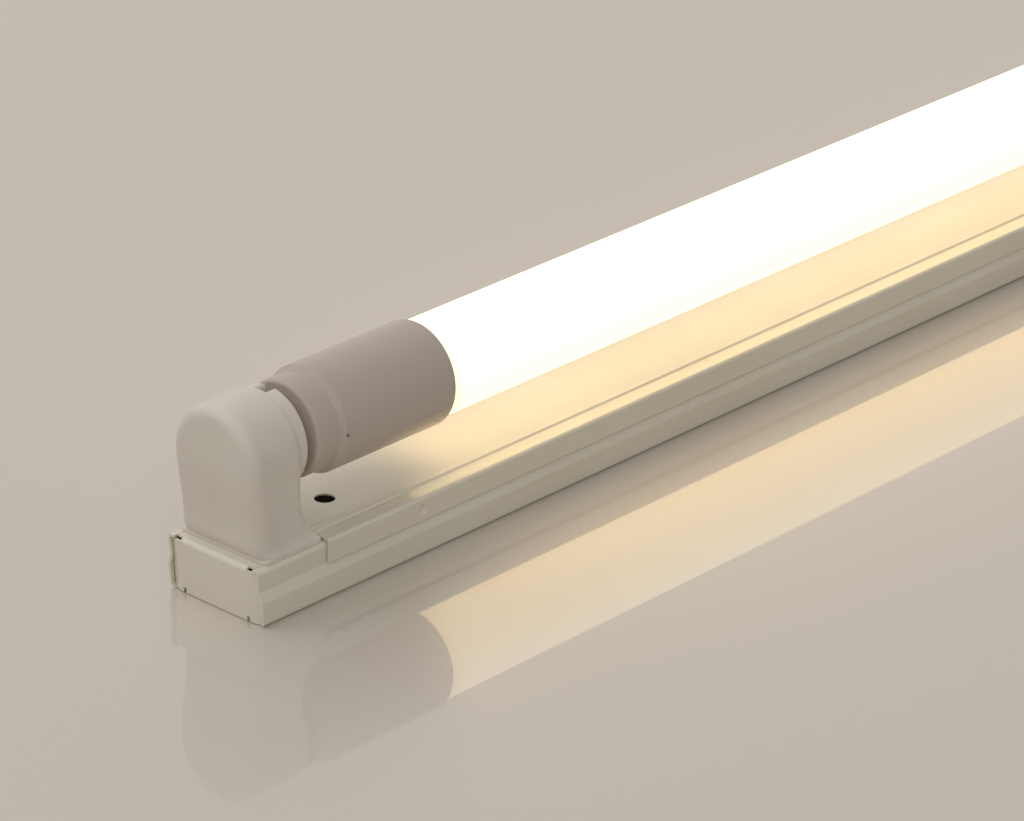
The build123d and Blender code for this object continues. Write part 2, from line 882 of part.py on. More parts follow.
def driver_fuse():
    """Fusible resistor lying across the board."""
    radius = fuse_diameter / 2
    half = fuse_length / 2
    points = [
        (-half, 0),
        (-half, radius),
        (-half + 2 * part_edge, radius),
        (-half + 3 * part_edge, radius - part_edge / 2),
        (half - 3 * part_edge, radius - part_edge / 2),
        (half - 2 * part_edge, radius),
        (half, radius),
        (half, 0),
    ]
    return Pos(driver_x + fuse_place, 0, driver_top + radius) * Rot(0, 0, 90) * turned(points, 0)


def driver_pin_leads():
    """Two short leads from the pins' inner ends to the driver's board."""
    start = cap_face + pin_root
    end = driver_x + pin_lead_landing
    low = driver_top + lamp_lead_diameter / 2
    made = []
    for y in (-pin_spacing / 2, pin_spacing / 2):
        route = [
            (start, y, axis_height),
            (start + lamp_lead_run, y, axis_height),
            (end - lamp_lead_run, y, low),
            (end, y, low),
        ]
        made.append(lead(route, lamp_lead_diameter))
    return made


def driver_output_leads():
    """Two short leads from the driver's board down to the LED board."""
    start = driver_x + driver_length - lamp_lead_run
    high = driver_top + lamp_lead_diameter / 2
    low = board_bottom() + board_thickness + lamp_lead_diameter / 2
    landing = diffuser_start() + board_end_gap + lamp_lead_run
    made = []
    for y in (-lamp_lead_side, lamp_lead_side):
        route = [
            (start, y, high),
            (start + output_lead_run, y, high),
            (landing - lamp_lead_foot, y, low),
            (landing + lamp_lead_foot, y, low),
        ]
        made.append(lead(route, lamp_lead_diameter))
    return made


def link_leads():
    """Two leads from the far cap's pins to the LED board."""
    start = cap_face + pin_root
    landing = diffuser_start() + board_end_gap + lamp_lead_run
    low = board_bottom() + board_thickness + lamp_lead_diameter / 2
    made = []
    for side in (-1, 1):
        route = [
            (start, side * pin_spacing / 2, axis_height),
            (start + link_lead_run, side * pin_spacing / 2, axis_height),
            (landing - link_lead_slope, side * lamp_lead_side, low),
            (landing + lamp_lead_foot, side * lamp_lead_side, low),
        ]
        made.append(lead(route, lamp_lead_diameter))
    return made


# Terminal block on the tray's floor

block_seat_x = block_place + block_length / 2 + block_tab / 2
pole_places = [(i - (block_poles - 1) / 2) * block_pitch for i in range(block_poles)]
bore_z = sheet + block_bore_height


def terminal_block():
    """Moulded block: one tunnel and two screw towers for each pole, and a screw tab."""
    half = block_length / 2
    body = None
    for y in pole_places:
        roof = bore_z + bush_diameter / 2 + block_roof
        pole = block(-half, half, y - block_pole_width / 2, y + block_pole_width / 2, sheet, roof)
        pole = fillet(pole.edges().group_by(Axis.Z)[-1].filter_by(Axis.X), block_edge)
        for x in (-terminal_screw_spacing / 2, terminal_screw_spacing / 2):
            pole += post(block_tower_diameter / 2, bore_z, sheet + block_height, x, y)
        body = pole if body is None else body + pole
    width = block_pitch * (block_poles - 1)
    body += block(-half, half, -width / 2, width / 2, sheet, sheet + block_base_height)
    seat_top = sheet + block_seat_rise
    tab = block_tab_width / 2
    body += block(half - overrun, half + block_tab, -tab, tab, seat_top, seat_top + block_tab_thickness)
    body -= post(block_screw_diameter / 2 + block_screw_gap, 0, bore_z, half + block_tab / 2)
    for y in pole_places:
        body -= rod(bush_diameter / 2 + bush_wall_gap, -half - overrun, half + overrun, y, bore_z)
        for x in (-terminal_screw_spacing / 2, terminal_screw_spacing / 2):
            top = sheet + block_height + overrun
            body -= post(terminal_screw_diameter / 2 + bush_wall_gap, bore_z, top, x, y)
    return Pos(block_place, 0, 0) * body


def terminal_bushes():
    """Brass bush in each tunnel, drilled for its wire and two screws."""
    half = bush_length / 2
    made = []
    for y in pole_places:
        bush = rod(bush_diameter / 2, -half, half, y, bore_z)
        bush -= rod(bush_bore / 2, -half - overrun, half + overrun, y, bore_z)
        for x in (-terminal_screw_spacing / 2, terminal_screw_spacing / 2):
            bush -= post(terminal_screw_diameter / 2, bore_z, bore_z + bush_diameter, x, y)
        made.append(Pos(block_place, 0, 0) * bush)
    return made


def terminal_screws():
    """Slotted clamp screws, two for each bush."""
    low = bore_z + bush_bore / 2
    made = []
    for y in pole_places:
        for x in (-terminal_screw_spacing / 2, terminal_screw_spacing / 2):
            screw = post(terminal_screw_diameter / 2, low, low + terminal_screw_length, x, y)
            top = low + terminal_screw_length
            slot = block(x - terminal_screw_diameter, x + terminal_screw_diameter, y - screw_slot_width / 2,
                         y + screw_slot_width / 2, top - screw_slot_depth, top + overrun)
            made.append(Pos(block_place, 0, 0) * (screw - slot))
    return made


def block_screw():
    """Pan-head screw that holds the terminal block's tab to its seat."""
    head_low = sheet + block_seat_rise + block_tab_thickness
    head = post(block_screw_head_diameter / 2, head_low, head_low + block_screw_head_height, block_seat_x)
    head = fillet(head.edges().group_by(Axis.Z)[-1], block_screw_head_height / 2)
    head_top = head_low + block_screw_head_height
    slot = block(block_seat_x - block_screw_head_diameter, block_seat_x + block_screw_head_diameter,
                 -screw_slot_width / 2, screw_slot_width / 2, head_top - screw_slot_depth, head_top + overrun)
    return head - slot + post(block_screw_diameter / 2, block_screw_tip, head_low, block_seat_x)


# Earth stud

earth_seat_top = earth_raise + sheet


def earth_screw():
    """Screw pushed up through its pressed seat, with its head in the hollow below."""
    radius = earth_screw_diameter / 2
    head = post(earth_head_diameter / 2, earth_raise - earth_head_height, earth_raise, earth_place)
    head = fillet(head.edges().group_by(Axis.Z)[0], earth_head_round)
    shank = post(radius, earth_raise, earth_raise + earth_screw_length, earth_place)
    shank = chamfer(shank.edges().group_by(Axis.Z)[-1], earth_tip_chamfer)
    return head + shank


def earth_lug():
    """Ring tongue on the stud, with a barrel round the earth lead's end."""
    low = earth_seat_top
    ring = post(lug_diameter / 2, low, low + lug_thickness, earth_place)
    reach = earth_place + lug_reach
    side = lug_barrel_diameter / 2
    tongue = block(earth_place, reach, -side, side, low, low + lug_thickness)
    centre = low + side
    barrel = rod(side, reach - lug_overlap, reach + lug_barrel_length, 0, centre)
    lug = ring + tongue + barrel
    lug -= rod(lead_diameter / 2 + lug_lead_gap, reach, reach + lug_barrel_length + overrun, 0, centre)
    return lug - post(earth_hole_radius, low - overrun, low + lug_thickness + overrun, earth_place)


def earth_washer():
    """Flat washer over the lug."""
    low = earth_seat_top + lug_thickness
    radius = earth_washer_diameter / 2
    high = low + earth_washer_thickness
    return post(radius, low, high, earth_place) - post(earth_hole_radius, low, high, earth_place)


def earth_nut():
    """Hexagon nut with chamfered corners."""
    low = earth_seat_top + lug_thickness + earth_washer_thickness
    corner = earth_nut_width / math.sqrt(3)
    nut = extrude(RegularPolygon(corner, 6), amount=earth_nut_height)
    cone = Cone(corner + earth_nut_height, corner - nut_corner_cut, earth_nut_height + nut_corner_cut)
    nut &= Pos(0, 0, (earth_nut_height + nut_corner_cut) / 2) * cone
    nut = Pos(earth_place, 0, low) * nut
    hole = earth_screw_diameter / 2 + nut_thread_gap
    return nut - post(hole, low - overrun, low + earth_nut_height + overrun, earth_place)


# Grommet

def cable_grommet():
    """Grommet in the pressed cable entry, with a flange on both sides of the sheet."""
    neck = entry_hole_diameter / 2 - grommet_neck_gap
    flange = grommet_flange_diameter / 2
    low = emboss_height
    points = [
        (grommet_bore / 2, low - grommet_flange),
        (flange - grommet_edge, low - grommet_flange),
        (flange, low - grommet_flange + grommet_edge),
        (flange, low),
        (neck, low),
        (neck, low + sheet),
        (flange, low + sheet),
        (flange, low + sheet + grommet_flange - grommet_edge),
        (flange - grommet_edge, low + sheet + grommet_flange),
        (grommet_bore / 2, low + sheet + grommet_flange),
    ]
    return Pos(entry_offset, 0, 0) * revolve(Plane.XZ * make_face(Polyline(*points, close=True)), Axis.Z)


# Leads inside the tray

floor_lead_z = sheet + clip_base_height + clip_gap + lead_diameter / 2


def supply_lead(side):
    """Lead from the terminal block to one lampholder: side -1 is the left, 1 the right."""
    start = block_place + side * bush_length / 2
    y = side * block_pitch
    run_y = side * lead_side
    tail_y = side * (contact_tail_y() - lead_diameter / 2 - contact_lead_gap)
    tail_x = side * (length / 2 - (body_front - holder_wall - contact_front_gap - contact_width / 2))
    bend_x = side * (length / 2 - lead_turn_place)
    route = [
        (start, y, bore_z),
        (start + side * lead_straight, y, bore_z),
        (start + side * (lead_straight + lead_drop_run), run_y, floor_lead_z),
        (bend_x, run_y, floor_lead_z),
        (tail_x - side * lead_foot_run, tail_y, floor_lead_z),
        (tail_x, tail_y, floor_lead_z + lead_foot_rise),
        (tail_x, tail_y, contact_tail_bottom + lead_tail_overlap),
    ]
    return lead(route, lead_diameter)


def earth_lead():
    """Lead from the middle pole to the barrel of the earth lug."""
    start = block_place - bush_length / 2
    end = earth_place + lug_reach + lug_stop_gap
    z_end = earth_seat_top + lug_barrel_diameter / 2
    route = [
        (start, 0, bore_z),
        (start - lead_straight, 0, bore_z),
        (end + lug_barrel_length + lead_straight / 2, 0, z_end),
        (end, 0, z_end),
    ]
    return lead(route, lead_diameter)


def lead_clips():
    """Clips that hold the two supply leads to the floor."""
    inner = lead_diameter / 2 + clip_gap
    outer = inner + clip_wall
    base_z = sheet + clip_base_height / 2
    section = Pos(0, floor_lead_z) * Circle(outer)
    section += Pos(0, base_z) * Rectangle(clip_base_width, clip_base_height)
    section -= Pos(0, floor_lead_z) * Circle(inner)
    section -= Pos(0, floor_lead_z + outer) * Rectangle(clip_mouth, 2 * clip_wall + outer)
    clip = Pos(-clip_length / 2, 0, 0) * extrude(Plane.YZ * section, amount=clip_length)
    made = []
    for x in clip_places:
        for side in (-1, 1):
            made.append(Pos(side * x, side * lead_side, 0) * clip)
    return made


save("tray", tray())
save("cover", cover())
save("left_lampholder", to_left(lampholder()))
save("right_lampholder", to_right(lampholder()))
save("left_contacts", *[to_left(strip) for strip in contacts()])
save("right_contacts", *[to_right(strip) for strip in contacts()])
save("left_rotor", to_left(rotor()))
save("right_rotor", to_right(rotor()))
save("diffuser", diffuser())
save("left_end_cap", to_left(end_cap()))
save("right_end_cap", to_right(end_cap()))
save("left_pins", *[to_left(pin) for pin in pins()])
save("right_pins", *[to_right(pin) for pin in pins()])
save("led_board", led_board())
save("board_adhesive", board_adhesive())
save("leds", *leds())
save("driver_board", to_left(driver_board()))
save("driver_capacitor", to_left(driver_capacitor()))
save("driver_inductor", to_left(driver_inductor()))
save("driver_chip", to_left(driver_chip()))
save("driver_film_capacitor", to_left(driver_film_capacitor()))
save("driver_fuse", to_left(driver_fuse()))
save("driver_pin_leads", *[to_left(wire) for wire in driver_pin_leads()])
save("driver_output_leads", *[to_left(wire) for wire in driver_output_leads()])
save("link_leads", *[to_right(wire) for wire in link_leads()])
save("terminal_block", terminal_block())
save("terminal_bushes", *terminal_bushes())
save("terminal_screws", *terminal_screws())
save("terminal_block_screw", block_screw())
save("earth_screw", earth_screw())
save("earth_lug", earth_lug())
save("earth_washer", earth_washer())
save("earth_nut", earth_nut())
save("cable_grommet", cable_grommet())
save("live_lead", supply_lead(-1))
save("neutral_lead", supply_lead(1))
save("earth_lead", earth_lead())
save("lead_clips", *lead_clips())
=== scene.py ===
"""A lit LED tube in its batten light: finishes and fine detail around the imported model."""
import math

import bpy
from mathutils import Matrix, Vector


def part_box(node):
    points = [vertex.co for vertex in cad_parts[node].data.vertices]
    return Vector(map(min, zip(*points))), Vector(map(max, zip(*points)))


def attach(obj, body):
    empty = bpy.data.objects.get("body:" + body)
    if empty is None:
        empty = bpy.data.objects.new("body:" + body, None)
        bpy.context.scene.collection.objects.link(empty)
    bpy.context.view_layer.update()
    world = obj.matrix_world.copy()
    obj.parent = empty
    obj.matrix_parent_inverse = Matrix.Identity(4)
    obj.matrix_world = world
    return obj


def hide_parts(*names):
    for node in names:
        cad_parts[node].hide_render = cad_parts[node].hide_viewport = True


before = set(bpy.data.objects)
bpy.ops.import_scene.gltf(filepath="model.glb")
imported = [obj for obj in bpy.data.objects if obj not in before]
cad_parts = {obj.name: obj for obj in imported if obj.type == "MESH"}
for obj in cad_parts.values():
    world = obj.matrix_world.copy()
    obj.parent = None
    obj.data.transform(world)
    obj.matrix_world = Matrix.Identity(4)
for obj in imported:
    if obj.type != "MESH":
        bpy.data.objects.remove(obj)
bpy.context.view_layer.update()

# One millimetre, in the metres that this scene is in
MM = 0.001

# Sizes of the real object, in metres, that the pieces below share. The axis is above the back face, and
# the cap's face and mouth are measured in from the end of the fitting.
axis_height = 40.4 * MM
end_x = 318.6 * MM
cap_face = 23.7 * MM
cap_mouth = 71.1 * MM
diffuser_radius = 13.0 * MM

# Part of a noise's range in which its blobs fade from one value to the other
blob_low = 0.3
blob_high = 0.7
blobs = {"From Min": blob_low, "From Max": blob_high}


def srgb(code):
    """Linear colour, with alpha, of a six-digit sRGB hex code."""
    parts = [int(code[i:i + 2], 16) / 255 for i in (0, 2, 4)]
    return tuple(p / 12.92 if p <= 0.04045 else ((p + 0.055) / 1.055) ** 2.4 for p in parts) + (1.0,)


# Materials

# Node kinds that the finishes share. A MATH node's inputs are numbered 0, 1 and 2.
NOISE = "ShaderNodeTexNoise"
RAMP = "ShaderNodeValToRGB"
RANGE = "ShaderNodeMapRange"
MAPPING = "ShaderNodeMapping"
BUMP = "ShaderNodeBump"
AXES = "ShaderNodeSeparateXYZ"
MATH = "ShaderNodeMath"


def set_inputs(node, inputs):
    """Sets a node's plain inputs, and links those that are another node or one of its outputs."""
    for socket, value in inputs.items():
        if isinstance(value, bpy.types.Node):
            value = value.outputs[0]
        if isinstance(value, bpy.types.NodeSocket):
            node.id_data.links.new(value, node.inputs[socket])
        else:
            node.inputs[socket].default_value = value


def add_node(owner, kind, inputs, colors=(), **settings):
    """One node with its settings, inputs and links, and two hex colours where it is a ramp."""
    node = owner.node_tree.nodes.new(kind)
    for name, value in settings.items():
        setattr(node, name, value)
    set_inputs(node, inputs)
    if colors:
        for stop, place, code in zip(node.color_ramp.elements, (blob_low, blob_high), colors):
            stop.position = place
            stop.color = srgb(code)
    return node


def new_material(name, color, roughness, **sockets):
    """Material, its main shader with plain values set, and the place on the object in metres."""
    material = bpy.data.materials.new(name)
    material.use_nodes = True
    shader = material.node_tree.nodes["Principled BSDF"]
    set_inputs(shader, {"Base Color": srgb(color), "Roughness": roughness})
    set_inputs(shader, {socket.replace("_", " "): value for socket, value in sockets.items()})
    place = add_node(material, "ShaderNodeTexCoord", {}).outputs["Object"]
    return material, shader, place


def powder_coated_steel():
    """Sheet steel with a cream powder coat: a high gloss, with peel, waves and marks of the rolling."""
    material, shader, place = new_material(
        "powder_coated_steel", "E0DAC8", 0.26, Coat_Weight=0.7, Coat_Roughness=0.05)
    # Depth of the peel, and how many times deeper the waves and the roll marks are
    peel_depth = 0.0008 * MM
    wave_factor = 40.0
    mark_factor = 80.0
    cloud = add_node(material, NOISE, {"Vector": place, "Scale": 1 / (60 * MM), "Detail": 3.0})
    cream = add_node(material, RAMP, {"Fac": cloud}, ("E2DCCB", "DAD3C0"))
    peel = add_node(material, NOISE, {"Vector": place, "Scale": 1 / (1.4 * MM), "Detail": 3.0})
    gloss = add_node(material, RANGE, {"Value": peel, **blobs, "To Min": 0.24, "To Max": 0.27})
    along = add_node(material, MAPPING, {"Vector": place, "Scale": (0.1, 1.0, 1.0)})
    wave = add_node(material, NOISE, {"Vector": along, "Scale": 1 / (14 * MM), "Detail": 1.0})
    roll_marks = add_node(material, NOISE, {"Vector": along, "Scale": 1 / (1.3 * MM), "Detail": 2.0})
    rolled = add_node(material, MATH, {0: roll_marks, 1: mark_factor, 2: peel}, operation="MULTIPLY_ADD")
    height = add_node(material, MATH, {0: wave, 1: wave_factor, 2: rolled}, operation="MULTIPLY_ADD")
    relief = add_node(material, BUMP, {"Height": height, "Distance": peel_depth})
    set_inputs(shader, {"Base Color": cream, "Roughness": gloss, "Normal": relief, "Coat Normal": relief})
    return material


def moulded_polycarbonate():
    """White polycarbonate from a spark-eroded mould: soft gloss, and a little light in its walls."""
    material, shader, place = new_material(
        "moulded_polycarbonate", "DCD5CB", 0.36, IOR=1.58, Subsurface_Weight=0.2,
        Subsurface_Radius=(1.0, 0.75, 0.55), Subsurface_Scale=1.6 * MM)
    upward = add_node(material, MAPPING, {"Vector": place, "Scale": (1.0, 1.0, 0.35)})
    flow = add_node(material, NOISE, {"Vector": upward, "Scale": 1 / (18 * MM), "Detail": 2.0})
    white = add_node(material, RAMP, {"Fac": flow}, ("DED7CD", "D7CFC4"))
    fine = add_node(material, NOISE, {"Vector": place, "Scale": 1 / (0.5 * MM), "Detail": 2.0})
    gloss = add_node(material, RANGE, {"Value": fine, **blobs, "To Min": 0.32, "To Max": 0.42})
    relief = add_node(material, BUMP, {"Height": fine, "Distance": 0.012 * MM, "Strength": 0.5})
    set_inputs(shader, {"Base Color": white, "Roughness": gloss, "Normal": relief})
    return material


def rotor_polycarbonate_painted_light():
    """White polycarbonate from a polished mould, glossier than the housing; its paler tone is painted
    light, standing in for the light falling in the lampholder's notch.
    """
    # The base colour, paler than the housing's, is painted light
    material, shader, place = new_material(
        "rotor_polycarbonate_painted_light", "E9E3D6", 0.22, IOR=1.58, Subsurface_Weight=0.25,
        Subsurface_Radius=(1.0, 0.8, 0.6), Subsurface_Scale=1.6 * MM)
    fine = add_node(material, NOISE, {"Vector": place, "Scale": 1 / (3 * MM), "Detail": 2.0})
    gloss = add_node(material, RANGE, {"Value": fine, **blobs, "To Min": 0.18, "To Max": 0.28})
    relief = add_node(material, BUMP, {"Height": fine, "Distance": 0.01 * MM, "Strength": 0.4})
    set_inputs(shader, {"Roughness": gloss, "Normal": relief})
    return material


def satin_grey_cap():
    """Warm grey PBT from a smooth mould: a satin gloss that varies slowly along the barrel."""
    material, shader, place = new_material(
        "satin_grey_cap", "BAAEA4", 0.26, IOR=1.58, Subsurface_Weight=0.08,
        Subsurface_Radius=(1.0, 0.6, 0.45), Subsurface_Scale=1.2 * MM)
    along = add_node(material, MAPPING, {"Vector": place, "Scale": (0.4, 1.0, 1.0)})
    flow = add_node(material, NOISE, {"Vector": along, "Scale": 1 / (30 * MM), "Detail": 1.0})
    grey = add_node(material, RAMP, {"Fac": flow}, ("BDB1A7", "B6A99F"))
    gloss = add_node(material, RANGE, {"Value": flow, **blobs, "To Min": 0.24, "To Max": 0.29})
    skin = add_node(material, NOISE, {"Vector": place, "Scale": 1 / (2.5 * MM), "Detail": 1.0})
    relief = add_node(material, BUMP, {"Height": skin, "Distance": 0.002 * MM})
    set_inputs(shader, {"Base Color": grey, "Roughness": gloss, "Normal": relief})
    return material


def gate_painted_shade():
    """Finish of the gate stub, rougher than the moulded skin: its dark grey is painted shade, standing in
    for the shadow in a deeper dimple.
    """
    material, shader, place = new_material("gate_painted_shade", "857A72", 0.6)
    shade_and_grain = add_node(material, NOISE, {"Vector": place, "Scale": 1 / (0.3 * MM), "Detail": 2.0})
    # Both greys are painted shade; the noise between them and the bump are the stub's grain
    grey = add_node(material, RAMP, {"Fac": shade_and_grain}, ("8E837A", "70665F"))
    relief = add_node(material, BUMP, {"Height": shade_and_grain, "Distance": 0.04 * MM})
    set_inputs(shader, {"Base Color": grey, "Normal": relief})
    return material


def lit_opal_tube():
    """Opal co-extruded tube, lit from inside: even warm white, weaker behind the board and at the caps."""
    material, shader, place = new_material(
        "lit_opal_tube", "F4EFE4", 0.22, IOR=1.49, Emission_Strength=1.5)
    parts = add_node(material, AXES, {"Vector": place})
    up = add_node(material, RANGE, {
        "Value": parts.outputs["Z"],
        "From Min": axis_height - diffuser_radius,
        "From Max": axis_height + diffuser_radius,
    })
    # Stretch in which the glow warms towards the cap, ending a little inside its mouth
    warm_start = end_x - cap_mouth - 9 * MM
    warm_end = end_x - cap_mouth + 3 * MM
    along = add_node(material, MATH, {0: parts.outputs["X"]}, operation="ABSOLUTE")
    near_cap = add_node(material, RANGE, {"Value": along, "From Min": warm_start, "From Max": warm_end})
    round_tube = add_node(material, RAMP, {"Fac": up}, ("FFDC9C", "FFE8BA"))
    at_cap = add_node(material, RAMP, {"Fac": near_cap}, ("FFE8BA", "FFD088"))
    # This node's inputs 0, 6 and 7 are the second colour's share and both colours, and output 2 their mix
    glow = add_node(material, "ShaderNodeMix", {0: 0.5, 6: round_tube, 7: at_cap}, data_type="RGBA")
    set_inputs(shader, {"Emission Color": glow.outputs[2]})
    return material


def turned_brass():
    """Bright turned brass: fine lathe rings and a thin, uneven tarnish."""
    material, shader, place = new_material("turned_brass", "C8A560", 0.24, Metallic=1.0)
    stain = add_node(material, NOISE, {"Vector": place, "Scale": 1 / (2.5 * MM), "Detail": 3.0})
    yellow = add_node(material, RAMP, {"Fac": stain}, ("D2B06A", "B8914E"))
    across = add_node(material, MAPPING, {"Vector": place, "Scale": (1.0, 0.1, 0.1)})
    rings = add_node(material, NOISE, {"Vector": across, "Scale": 1 / (0.3 * MM), "Detail": 1.0})
    gloss = add_node(material, RANGE, {"Value": rings, **blobs, "To Min": 0.18, "To Max": 0.32})
    relief = add_node(material, BUMP, {"Height": rings, "Distance": 0.008 * MM, "Strength": 0.4})
    set_inputs(shader, {"Base Color": yellow, "Roughness": gloss, "Normal": relief})
    return material


def phosphor_bronze():
    """Rolled phosphor bronze strip: warm copper tone with faint rolling lines."""
    material, shader, place = new_material("phosphor_bronze", "C08A55", 0.3, Metallic=1.0)
    upward = add_node(material, MAPPING, {"Vector": place, "Scale": (1.0, 1.0, 0.05)})
    lines = add_node(material, NOISE, {"Vector": upward, "Scale": 1 / (0.25 * MM), "Detail": 1.0})
    copper = add_node(material, RAMP, {"Fac": lines}, ("C48F5B", "BD8853"))
    gloss = add_node(material, RANGE, {"Value": lines, **blobs, "To Min": 0.26, "To Max": 0.32})
    set_inputs(shader, {"Base Color": copper, "Roughness": gloss})
    return material


def masked_aluminium():
    """Aluminium board under white solder mask: matt white, a little uneven."""
    material, shader, place = new_material("masked_aluminium", "F0F0EC", 0.45)
    soft = add_node(material, NOISE, {"Vector": place, "Scale": 1 / (4 * MM), "Detail": 2.0})
    white = add_node(material, RAMP, {"Fac": soft}, ("F2F2EE", "E8E8E2"))
    relief = add_node(material, BUMP, {"Height": soft, "Distance": 0.02 * MM, "Strength": 0.4})
    set_inputs(shader, {"Base Color": white, "Normal": relief})
    return material


def white_silicone():
    """Cured silicone bead: milky, with a soft sheen and slow lumps."""
    material, shader, place = new_material(
        "white_silicone", "DDDDD8", 0.4, Subsurface_Weight=0.4,
        Subsurface_Radius=(1.0, 0.95, 0.9), Subsurface_Scale=1.0 * MM)
    lumps = add_node(material, NOISE, {"Vector": place, "Scale": 1 / (3 * MM), "Detail": 2.0})
    gloss = add_node(material, RANGE, {"Value": lumps, **blobs, "To Min": 0.32, "To Max": 0.48})
    relief = add_node(material, BUMP, {"Height": lumps, "Distance": 0.15 * MM, "Strength": 0.5})
    set_inputs(shader, {"Roughness": gloss, "Normal": relief})
    return material


def led_frame():
    """White reflector frame of each light source: even gloss with a faint mould texture."""
    material, shader, place = new_material("led_frame", "F3F0E6", 0.35)
    fine = add_node(material, NOISE, {"Vector": place, "Scale": 1 / (0.6 * MM), "Detail": 2.0})
    gloss = add_node(material, RANGE, {"Value": fine, **blobs, "To Min": 0.3, "To Max": 0.42})
    set_inputs(shader, {"Roughness": gloss})
    return material


def led_phosphor():
    """Silicone filled with yellow phosphor, lit: a full warm yellow with a fine grain."""
    material, shader, place = new_material(
        "led_phosphor", "F4CE54", 0.3, Emission_Strength=0.6, Emission_Color=srgb("FFD87A"))
    grains = add_node(material, NOISE, {"Vector": place, "Scale": 1 / (0.25 * MM), "Detail": 2.0})
    yellow = add_node(material, RAMP, {"Fac": grains}, ("F7D462", "EBC044"))
    set_inputs(shader, {"Base Color": yellow})
    return material


def green_solder_mask():
    """Glass-fibre board under green mask: glossy, with the weave faintly through it."""
    material, shader, place = new_material("green_solder_mask", "1F6B3C", 0.25)
    weave = add_node(material, NOISE, {"Vector": place, "Scale": 1 / (0.7 * MM), "Detail": 1.0})
    green = add_node(material, RAMP, {"Fac": weave}, ("22733F", "1A5E34"))
    relief = add_node(material, BUMP, {"Height": weave, "Distance": 0.02 * MM, "Strength": 0.3})
    set_inputs(shader, {"Base Color": green, "Normal": relief})
    return material


def capacitor_sleeve():
    """Shrunk PVC sleeve, near black and glossy, with a grey band on the side of the negative leg."""
    material, shader, place = new_material("capacitor_sleeve", "1B1D24", 0.25)
    parts = add_node(material, AXES, {"Vector": place})
    # The band covers the top, and fades in between two heights
    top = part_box("driver_capacitor")[1].z
    fade_start = top - 0.9 * MM
    fade_end = top - 0.7 * MM
    band = add_node(material, RANGE, {
        "Value": parts.outputs["Z"],
        "From Min": fade_start,
        "From Max": fade_end,
    })
    black = add_node(material, RAMP, {"Fac": band}, ("1B1D24", "9CA0A6"))
    around = add_node(material, MAPPING, {"Vector": place, "Scale": (1.0, 0.3, 1.0)})
    folds = add_node(material, NOISE, {"Vector": around, "Scale": 1 / (1.5 * MM), "Detail": 2.0})
    relief = add_node(material, BUMP, {"Height": folds, "Distance": 0.03 * MM, "Strength": 0.4})
    set_inputs(shader, {"Base Color": black, "Normal": relief})
    return material


def sintered_ferrite():
    """Sintered ferrite: dark grey ceramic with a dry, pitted face."""
    material, shader, place = new_material("sintered_ferrite", "2E2C2C", 0.62)
    pits = add_node(material, NOISE, {"Vector": place, "Scale": 1 / (0.4 * MM), "Detail": 3.0})
    grey = add_node(material, RAMP, {"Fac": pits}, ("353333", "242222"))
    relief = add_node(material, BUMP, {"Height": pits, "Distance": 0.05 * MM, "Strength": 0.6})
    set_inputs(shader, {"Base Color": grey, "Normal": relief})
    return material


def enamelled_copper():
    """Enamelled copper wire: deep orange metal under clear varnish."""
    material, shader, place = new_material(
        "enamelled_copper", "B4602C", 0.25, Metallic=1.0, Coat_Weight=0.6)
    shade = add_node(material, NOISE, {"Vector": place, "Scale": 1 / (0.8 * MM), "Detail": 2.0})
    orange = add_node(material, RAMP, {"Fac": shade}, ("C06A34", "9E5024"))
    set_inputs(shader, {"Base Color": orange})
    return material


def moulding_compound():
    """Black epoxy moulding compound: matt and finely speckled."""
    material, shader, place = new_material("moulding_compound", "17171A", 0.55)
    speck = add_node(material, NOISE, {"Vector": place, "Scale": 1 / (0.2 * MM), "Detail": 2.0})
    gloss = add_node(material, RANGE, {"Value": speck, **blobs, "To Min": 0.48, "To Max": 0.62})
    relief = add_node(material, BUMP, {"Height": speck, "Distance": 0.01 * MM, "Strength": 0.4})
    set_inputs(shader, {"Roughness": gloss, "Normal": relief})
    return material


def yellow_case():
    """Moulded polyester case of the film capacitor: yellow with a soft gloss."""
    material, shader, place = new_material("yellow_case", "C88F1E", 0.32)
    soft = add_node(material, NOISE, {"Vector": place, "Scale": 1 / (2 * MM), "Detail": 2.0})
    yellow = add_node(material, RAMP, {"Fac": soft}, ("CE9524", "BE8618"))
    set_inputs(shader, {"Base Color": yellow})
    return material


def resistor_lacquer():
    """Dipped grey-blue flameproof lacquer: matt with small lumps."""
    material, shader, place = new_material("resistor_lacquer", "5A7486", 0.5)
    lumps = add_node(material, NOISE, {"Vector": place, "Scale": 1 / (0.9 * MM), "Detail": 2.0})
    gloss = add_node(material, RANGE, {"Value": lumps, **blobs, "To Min": 0.42, "To Max": 0.58})
    relief = add_node(material, BUMP, {"Height": lumps, "Distance": 0.05 * MM, "Strength": 0.5})
    set_inputs(shader, {"Roughness": gloss, "Normal": relief})
    return material


def wire_sleeve(name, color, second=None):
    """Extruded PVC insulation: satin with faint draw lines, and perhaps a second colour on one side."""
    material, shader, place = new_material(name, color, 0.42)
    if second:
        blur = 0.1 * MM
        parts = add_node(material, AXES, {"Vector": place})
        side = add_node(material, RANGE, {
            "Value": parts.outputs["Y"],
            "From Min": -blur,
            "From Max": blur,
        })
        stripe = add_node(material, RAMP, {"Fac": side}, (color, second))
        set_inputs(shader, {"Base Color": stripe})
    along = add_node(material, MAPPING, {"Vector": place, "Scale": (0.1, 1.0, 1.0)})
    lines = add_node(material, NOISE, {"Vector": along, "Scale": 1 / (0.5 * MM), "Detail": 2.0})
    gloss = add_node(material, RANGE, {"Value": lines, **blobs, "To Min": 0.36, "To Max": 0.5})
    relief = add_node(material, BUMP, {"Height": lines, "Distance": 0.01 * MM, "Strength": 0.4})
    set_inputs(shader, {"Roughness": gloss, "Normal": relief})
    return material


